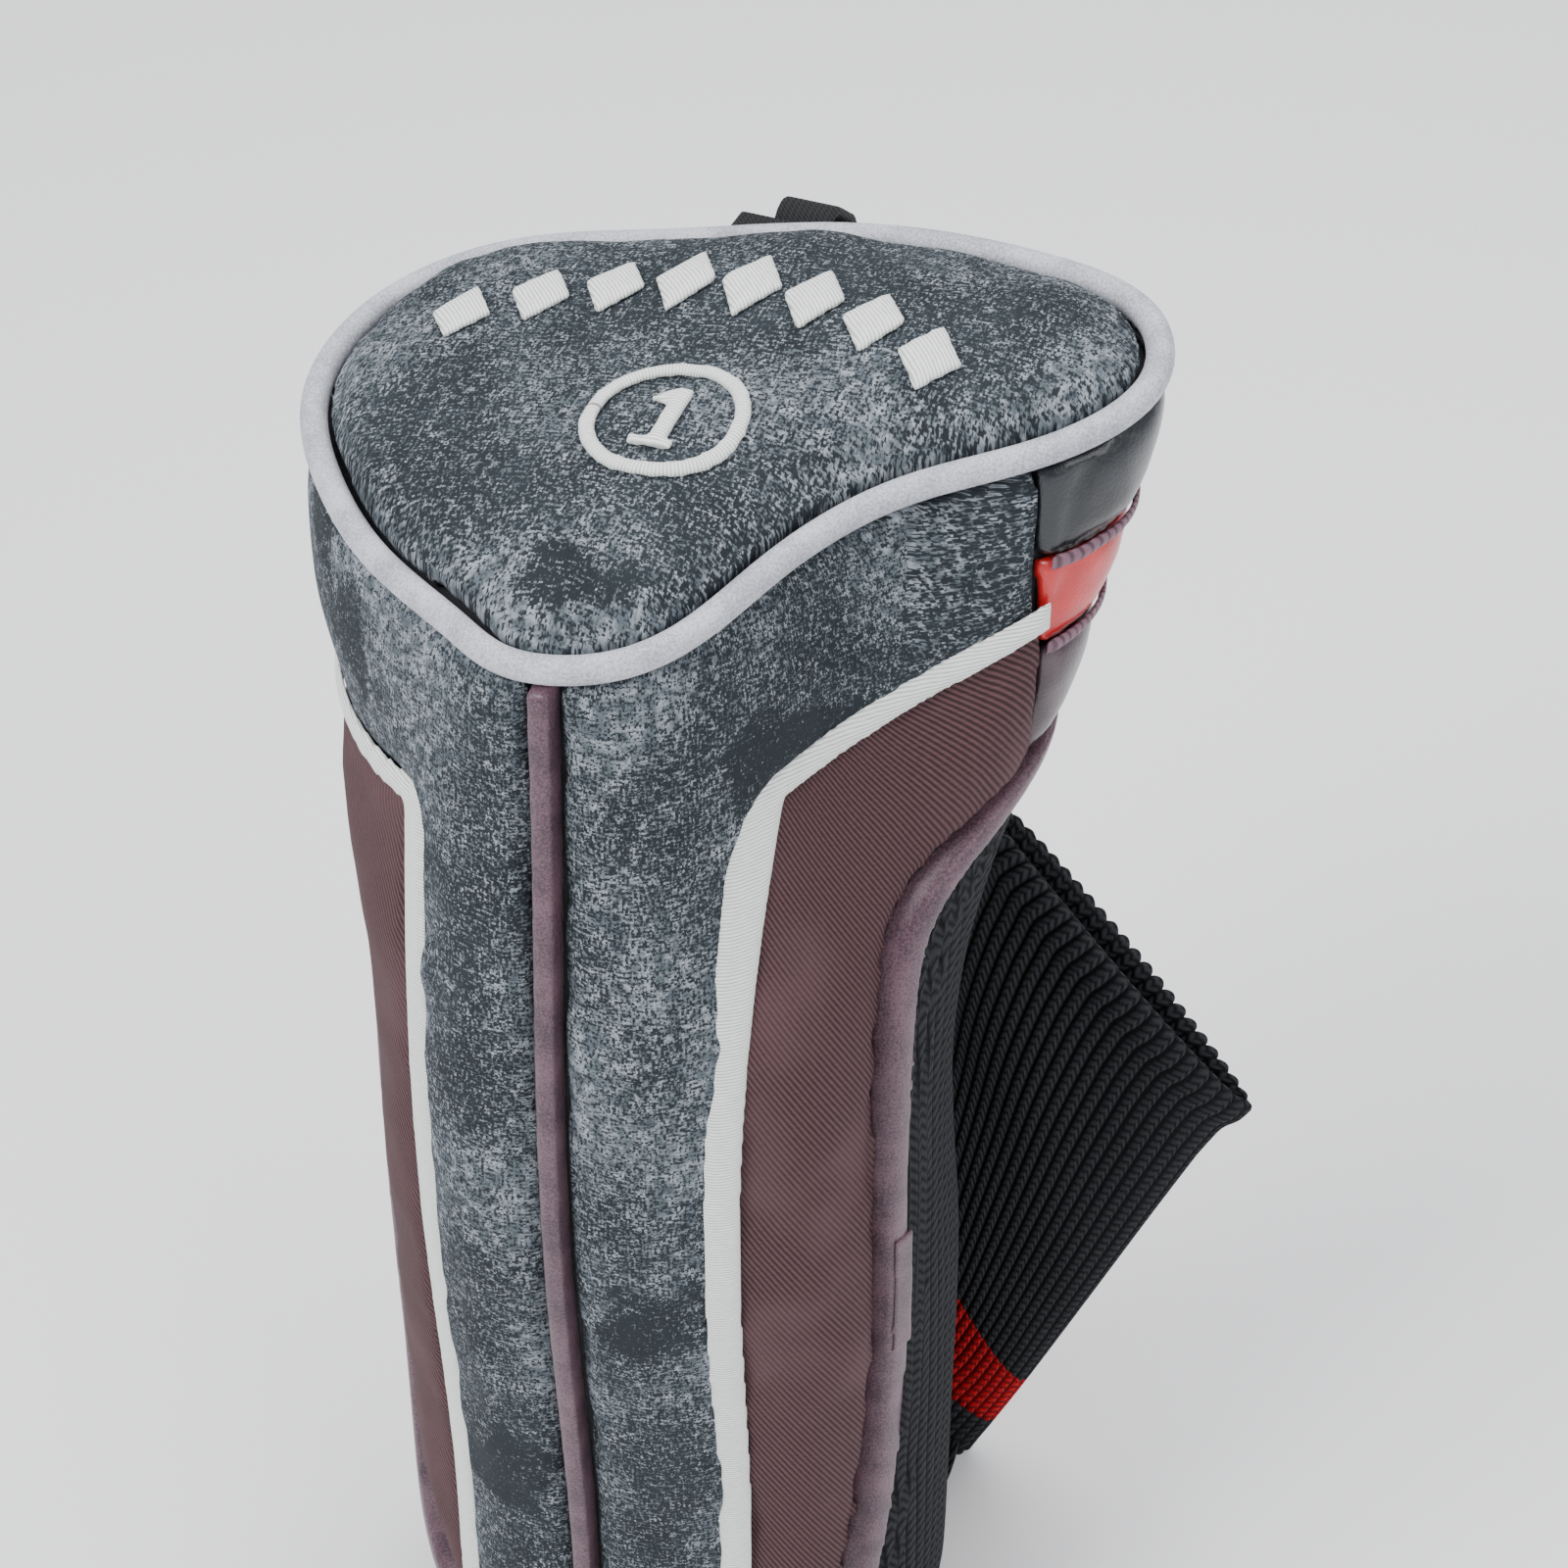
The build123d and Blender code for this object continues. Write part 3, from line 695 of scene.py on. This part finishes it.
# ---- Settings ----------------------------------------------------------------------
class HeadCoverSettings(bpy.types.PropertyGroup):
    panel_grid: bpy.props.FloatProperty(
        name="Panel grid", description="Face size of the padded cloth", default=1.5 * MM, unit="LENGTH"
    )
    cord_grid: bpy.props.FloatProperty(
        name="Cord grid", description="Face size of pipings and embroidery", default=0.5 * MM, unit="LENGTH"
    )
    rib_depth: bpy.props.FloatProperty(
        name="Rib depth", description="How far the knit's ribs stand out", default=0.9 * MM, unit="LENGTH"
    )
    body_ribs: bpy.props.IntProperty(name="Body ribs", description="Ribs round the sock's body", default=94)
    neck_ribs: bpy.props.IntProperty(name="Neck ribs", description="Ribs round the neck", default=50)
    stitch: bpy.props.FloatProperty(
        name="Stitch", description="Distance between embroidery threads", default=0.6 * MM, unit="LENGTH"
    )


# ---- Operators -----------------------------------------------------------------------
class HEADCOVER_OT_panels(bpy.types.Operator):
    """Pad the grey front panels and the twill side panels"""

    bl_idname = "headcover.panels"
    bl_label = "Front and side panels"

    def execute(self, context):
        settings = context.scene.head_cover
        grey = tweed("grey_tweed_panels")
        plum = twill("plum_twill_sides")
        for node in FRONT_PANELS:
            pad_panel(node, grey, "grey_tweed", 2.2 * MM, 9 * MM, settings)
        for node in SIDE_PANELS:
            pad_panel(node, plum, "plum_twill", 1.0 * MM, 8 * MM, settings)
        return {"FINISHED"}


class HEADCOVER_OT_bands(bpy.types.Operator):
    """Pad the glossy bands round the back and stitch their seams"""

    bl_idname = "headcover.bands"
    bl_label = "Back bands"

    def execute(self, context):
        settings = context.scene.head_cover
        coats = {
            "black": gloss("black_gloss_coat", (0.004, 0.006, 0.008), (0.010, 0.013, 0.017)),
            "red": gloss("red_gloss_coat", (0.42, 0.012, 0.014), (0.60, 0.028, 0.030)),
            "mauve": gloss("plum_gloss_coat", (0.028, 0.014, 0.019), (0.060, 0.034, 0.042)),
        }
        slots = {"black": "black_gloss", "red": "red_gloss", "mauve": "plum_gloss"}
        for node in BANDS:
            colour = node.split("_")[1]
            pad_panel(node, coats[colour], slots[colour], 0.9 * MM, 5 * MM, settings)
        # The low thread colour is painted shade between the zigzag threads.
        plum_groove_shade, plum_high = (0.045, 0.018, 0.028), (0.17, 0.08, 0.115)
        thread = wound("plum_zigzag_thread", plum_groove_shade, plum_high, 0.9 * MM, 0.5, 0.05)
        for node in ("zigzag_upper", "zigzag_lower"):
            cord_piece(node, thread, "plum_thread", settings.cord_grid, 0.4 * MM)
        return {"FINISHED"}


class HEADCOVER_OT_cap(bpy.types.Operator):
    """Pad the cap and embroider its emblem"""

    bl_idname = "headcover.cap"
    bl_label = "Cap and emblem"

    def execute(self, context):
        settings = context.scene.head_cover
        drawn = Skin("cap_fabric")
        cap = cap_piece(settings, tweed("grey_tweed_cap"))
        form = bmesh.new()
        form.from_mesh(cap.data)
        sewn = BVHTree.FromBMesh(form)
        form.free()

        def lift(point):
            """How far the padded cap stands over the drawn one here."""
            high = sewn.ray_cast(Vector((point.x, point.y, 0.4)), Vector((0, 0, -1)))[0]
            low = drawn.below(point.x, point.y)
            return high.z - low.z if high and low else 0.0

        # The low thread colour is painted shade between the emblem threads.
        white_groove_shade, white_high = (0.45, 0.46, 0.45), (0.88, 0.89, 0.87)
        thread = wound("white_emblem_thread", white_groove_shade, white_high, settings.stitch, 0.6, 0.0)
        patterns = {
            "emblem_ring": lambda co: (13 * MM * math.atan2(co.y + MM, co.x - MM), math.hypot(co.x, co.y)),
            "emblem_number": lambda co: (co.y, co.x),
            "emblem_argyle": lambda co: (co.x * 0.7 + co.y * 0.7, co.y),
        }
        for node, unwrap in patterns.items():
            cord_piece(
                node, thread, "white_thread", settings.cord_grid, 0.5 * MM,
                outward=upward, unwrap=unwrap, lift=lift, rounds=2,
            )
        return {"FINISHED"}


class HEADCOVER_OT_pipings(bpy.types.Operator):
    """Make the white cap piping and the plum satin cords"""

    bl_idname = "headcover.pipings"
    bl_label = "Pipings"

    def execute(self, context):
        settings = context.scene.head_cover
        white = satin("white_piping_cover", (0.30, 0.30, 0.34), (0.56, 0.56, 0.61), 0.55)
        plum = satin("plum_satin_cover", (0.040, 0.020, 0.030), (0.13, 0.070, 0.092), 0.4)
        cord_piece("cap_piping", white, "white_piping", 0.6 * MM, 0)
        cord_piece("centre_piping", plum, "plum_satin", settings.cord_grid, 0.2 * MM)
        cord_piece("edge_piping", plum, "plum_satin", 0.55 * MM, 0.3 * MM)
        cord_piece("piping_splice", plum, "plum_satin", 0.4 * MM, 0)
        # The low thread colour is painted shade between the border threads.
        white_groove_shade, white_high = (0.42, 0.43, 0.42), (0.86, 0.87, 0.85)
        thread = wound("white_border_thread", white_groove_shade, white_high, settings.stitch, 0.6, 0.0)
        for node in ("border_left", "border_right"):
            cord_piece(
                node, thread, "white_thread", settings.cord_grid, 0.5 * MM, unwrap=lambda co: (co.z, co.x)
            )
        return {"FINISHED"}


class HEADCOVER_OT_knit(bpy.types.Operator):
    """Knit the ribbed sock, its fold and its neck with the red stripe"""

    bl_idname = "headcover.knit"
    bl_label = "Knit sock"

    def execute(self, context):
        settings = context.scene.head_cover
        # The low knit colours are painted shade in the rib grooves; the high ones are the painted highlight
        # on the stitch crests.
        black = knit("black_knit_wool", (0.0010, 0.0010, 0.0013), (0.030, 0.031, 0.035))
        red = knit("red_knit_wool", (0.03, 0.0008, 0.0015), (0.50, 0.008, 0.014))
        knit_body(settings, black)
        fold_piece(settings, black)
        hem_end = 1.16  # the hem turns in past the mouth
        rings = (
            ("neck_lower_knit", black, "black_knit", ["neck_lower"], 0.0, STRIPE_FROM, 8),
            ("neck_stripe_knit", red, "red_knit", ["neck_stripe"], STRIPE_FROM, STRIPE_TO, 14),
            ("neck_upper_knit", black, "black_knit", ["neck_upper", "neck_hem"], STRIPE_TO, hem_end, 110),
        )
        for ring in rings:
            neck_piece(settings, *ring)
        return {"FINISHED"}


class HEADCOVER_OT_trim(bpy.types.Operator):
    """Cover the pull loop and its tab, and the lining"""

    bl_idname = "headcover.trim"
    bl_label = "Loop and lining"

    def execute(self, context):
        # The tape's low colour shows mostly in the grooves between its cords, as painted shade.
        tape = webbing("black_webbing_tape", (0.002, 0.002, 0.0025), (0.020, 0.021, 0.023))
        for node, body in (("loop_tab", "cover"), ("pull_loop", "loop")):
            form = evened(welded(node), 0.45 * MM)
            softened(form, 3)
            mapped(form, around)
            finished(f"{node}_tape", form, tape, body=body, nodes=[node], slot="black_webbing")
        nap = plain("lining_nap", (0.010, 0.010, 0.012), (0.045, 0.045, 0.05), 0.85, 700)
        for node, stuff in (("cap_lining", nap), ("shell_lining", nap)):
            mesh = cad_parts[node].data
            mesh.materials.clear()
            mesh.materials.append(stuff)
        return {"FINISHED"}


class HEADCOVER_OT_stage(bpy.types.Operator):
    """Set the pale floor, the soft lights and the camera"""

    bl_idname = "headcover.stage"
    bl_label = "Stage"

    def execute(self, context):
        floor_form = bmesh.new()
        bmesh.ops.create_grid(floor_form, x_segments=1, y_segments=1, size=3)
        paper_colour = (0.92, 0.92, 0.93, 1)
        paper = Shader("pale_floor", Base_Color=paper_colour, Roughness=0.7, Specular_IOR_Level=0.2)
        floor = finished("floor", floor_form, paper.material, body=None)
        floor.location.z = -0.4 * MM
        for name, spot, size, power in (
            ("key", (-0.55, -0.75, 1.15), 0.7, 20),
            ("fill", (0.95, -0.35, 0.75), 0.9, 7),
            ("top", (0.10, 0.55, 1.25), 0.9, 12),
        ):
            data = bpy.data.lights.new(name, "AREA")
            data.size = size
            data.energy = power
            light = bpy.data.objects.new(name, data)
            bpy.context.scene.collection.objects.link(light)
            light.location = spot
            aim = Vector((0, 0, 0.16)) - Vector(spot)
            light.rotation_euler = aim.to_track_quat("-Z", "Y").to_euler()
        world = bpy.data.worlds.new("studio")
        context.scene.world = world
        world.use_nodes = True
        world.node_tree.nodes["Background"].inputs[0].default_value = (0.92, 0.95, 1.0, 1)
        world.node_tree.nodes["Background"].inputs[1].default_value = 0.7
        lens = bpy.data.cameras.new("camera")
        lens.lens = 83.7
        lens.clip_start = 0.01
        camera = bpy.data.objects.new("camera", lens)
        context.scene.collection.objects.link(camera)
        azimuth, elevation, distance = math.radians(22), math.radians(40), 0.620
        level = math.cos(elevation)
        back = Vector((math.sin(azimuth) * level, -math.cos(azimuth) * level, math.sin(elevation)))
        target = Vector((0.008, 0.029, 0.188))
        camera.location = target + back * distance
        camera.rotation_euler = (-back).to_track_quat("-Z", "Y").to_euler()
        context.scene.camera = camera
        return {"FINISHED"}


class HEADCOVER_PT_sidebar(bpy.types.Panel):
    """Sizes and steps of the head cover"""

    bl_label = "Head cover"
    bl_space_type = "VIEW_3D"
    bl_region_type = "UI"
    bl_category = "Head cover"

    def draw(self, context):
        settings = context.scene.head_cover
        for name in ("panel_grid", "cord_grid", "rib_depth", "body_ribs", "neck_ribs", "stitch"):
            self.layout.prop(settings, name)
        for step in STEPS:
            self.layout.operator(step.bl_idname)


STEPS = (
    HEADCOVER_OT_panels,
    HEADCOVER_OT_bands,
    HEADCOVER_OT_cap,
    HEADCOVER_OT_pipings,
    HEADCOVER_OT_knit,
    HEADCOVER_OT_trim,
    HEADCOVER_OT_stage,
)
CLASSES = (HeadCoverSettings, *STEPS, HEADCOVER_PT_sidebar)


def register():
    for made in CLASSES:
        bpy.utils.register_class(made)
    bpy.types.Scene.head_cover = bpy.props.PointerProperty(type=HeadCoverSettings)


def unregister():
    del bpy.types.Scene.head_cover
    for made in reversed(CLASSES):
        bpy.utils.unregister_class(made)


def main():
    register()
    bpy.ops.headcover.panels()
    bpy.ops.headcover.bands()
    bpy.ops.headcover.cap()
    bpy.ops.headcover.pipings()
    bpy.ops.headcover.knit()
    bpy.ops.headcover.trim()
    bpy.ops.headcover.stage()


if __name__ == "__main__":
    main()
